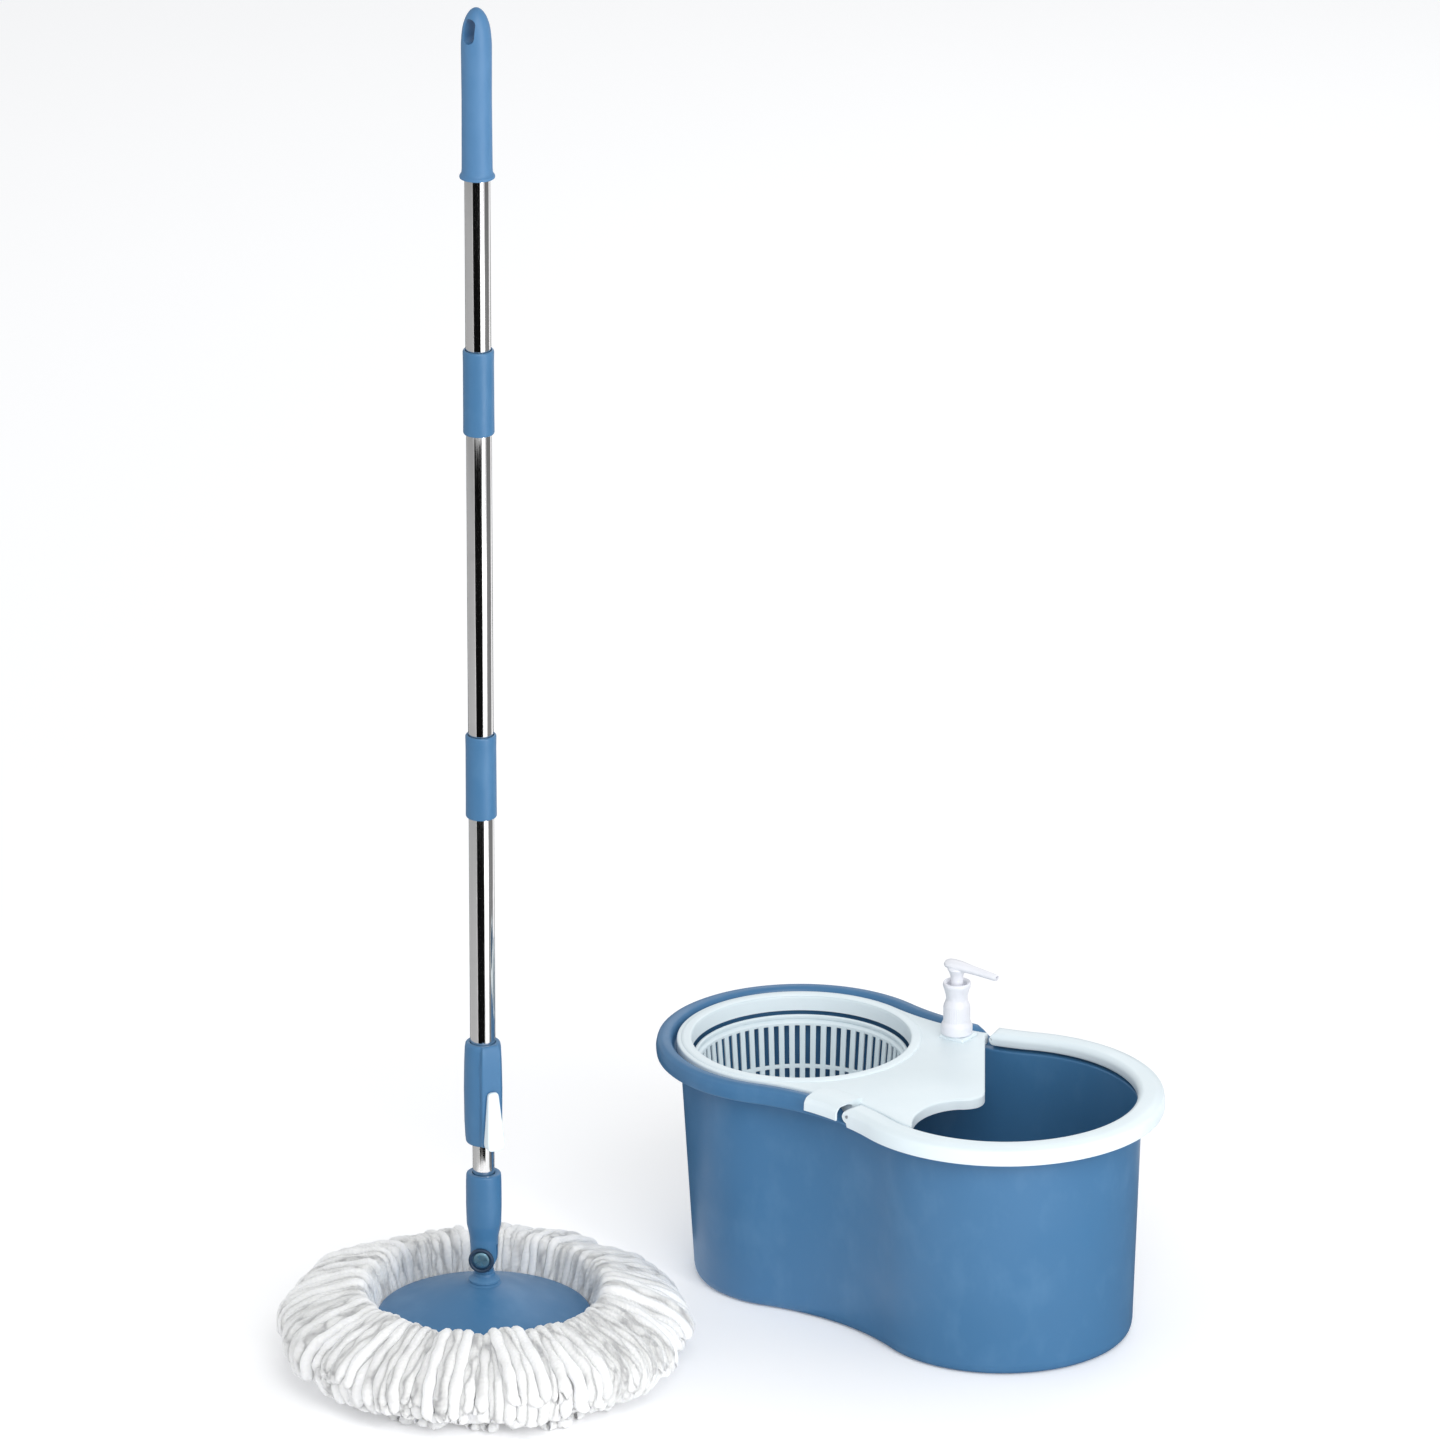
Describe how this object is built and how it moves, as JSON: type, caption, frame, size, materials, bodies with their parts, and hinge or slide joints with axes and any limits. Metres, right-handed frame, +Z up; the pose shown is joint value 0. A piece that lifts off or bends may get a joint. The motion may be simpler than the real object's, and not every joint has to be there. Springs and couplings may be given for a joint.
{
  "type": "spin mop and bucket",
  "caption": "Telescopic mop with a round microfibre head and a screw drive, beside its two-lobe bucket with a spin basket, deck, soap pump and swing handle.",
  "frame": {"origin": "on the floor under the middle of the bucket's waist, midway between the centres of its two lobes", "axes": "+Z up, +X from the spin lobe to the rinse lobe, +Y to the side with the soap pump; the mop stands at X -0.2085, Y -0.339"},
  "size_m": [0.6418, 0.6645, 1.2495],
  "materials": {
    "blue_plastic": "semi-gloss moulded polypropylene",
    "blue_grip": "satin moulded plastic",
    "white_plastic": "semi-gloss moulded polypropylene, slightly cool white",
    "pump_plastic": "smooth moulded plastic",
    "chrome_tube": "polished stainless tube",
    "steel": "turned steel",
    "microfibre": "white looped microfibre yarn",
    "brake_rubber": "matt rubber",
    "bottle_plastic": "frosted blow-moulded plastic"
  },
  "bodies": {
    "bucket": {"bucket_body": "blue_plastic", "spindle_pin": "steel", "handle_pin_back": "steel", "handle_pin_front": "steel"},
    "deck": {"deck_tray": "white_plastic", "soap_bottle": "bottle_plastic", "pump_collar": "pump_plastic", "pump_housing": "pump_plastic", "pump_spring": "steel", "dip_tube": "bottle_plastic"},
    "pump_plunger": {"pump_head": "pump_plastic"},
    "basket_seat": {"hub_bush": "steel"},
    "basket": {"spin_basket": "white_plastic", "basket_hub": "white_plastic"},
    "handle": {"carry_handle": "white_plastic"},
    "mop_head": {"mop_disc": "blue_plastic", "swivel_knuckle": "blue_plastic", "yarn_ring": "white_plastic", "yarn_head": "microfibre"},
    "rod": {"pivot_socket": "blue_plastic", "tilt_bolt": "steel", "inner_tube": "chrome_tube", "drive_nut": "white_plastic"},
    "follower": {"guide_bush": "white_plastic"},
    "pole": {"spiral_bar": "steel", "bar_anchor": "white_plastic", "lower_tube": "chrome_tube", "middle_tube": "chrome_tube", "upper_tube": "chrome_tube", "lower_sleeve": "blue_plastic", "lower_plug": "white_plastic", "upper_sleeve": "blue_plastic", "upper_plug": "white_plastic", "grip": "blue_grip", "lock_housing": "blue_plastic", "lever_pin": "steel", "brake_shoe": "brake_rubber"},
    "lever": {"lock_lever": "white_plastic"}
  },
  "joints": [
    {"name": "deck_lift", "type": "slide", "parent": "bucket", "child": "deck", "axis": [0, 0, 1], "range_m": [0, 0.08]},
    {"name": "pump_press", "type": "slide", "parent": "deck", "child": "pump_plunger", "axis": [0, 0, -1], "range_m": [0, 0.008], "stiffness_N_per_m": 600, "springref_m": -0.004, "deforming": ["pump_spring"]},
    {"name": "basket_lift", "type": "slide", "parent": "bucket", "child": "basket_seat", "axis": [0, 0, 1], "range_m": [0, 0.13]},
    {"name": "basket_spin", "type": "hinge", "parent": "basket_seat", "child": "basket", "pos_m": [-0.1082, 0, 0.1], "axis": [0, 0, 1], "continuous": true},
    {"name": "handle_swing", "type": "hinge", "parent": "bucket", "child": "handle", "pos_m": [0.027, 0, 0.2195], "axis": [0, -1, 0], "range_deg": [0, 90]},
    {"name": "mop_lift", "type": "slide", "parent": "bucket", "child": "mop_head", "axis": [0, 0, 1], "range_m": [0, 0.4]},
    {"name": "pole_tilt", "type": "hinge", "parent": "mop_head", "child": "rod", "pos_m": [-0.2085, -0.339, 0.1055], "axis": [0.43, -0.9028, 0], "range_deg": [-90, 90]},
    {"name": "screw_turn", "type": "hinge", "parent": "rod", "child": "follower", "pos_m": [-0.2085, -0.339, 0.492], "axis": [0, 0, 1], "range_deg": [0, 720]},
    {"name": "press_stroke", "type": "slide", "parent": "follower", "child": "pole", "axis": [0, 0, 1], "range_m": [0, 0.2]},
    {"name": "lever_flip", "type": "hinge", "parent": "pole", "child": "lever", "pos_m": [-0.19555, -0.34574, 0.263], "axis": [-0.4617, -0.887, 0], "range_deg": [0, 90]}
  ],
  "couplings": [
    {"joint": "screw_turn", "follows": "press_stroke", "rad_per_m": 62.832}
  ]
}
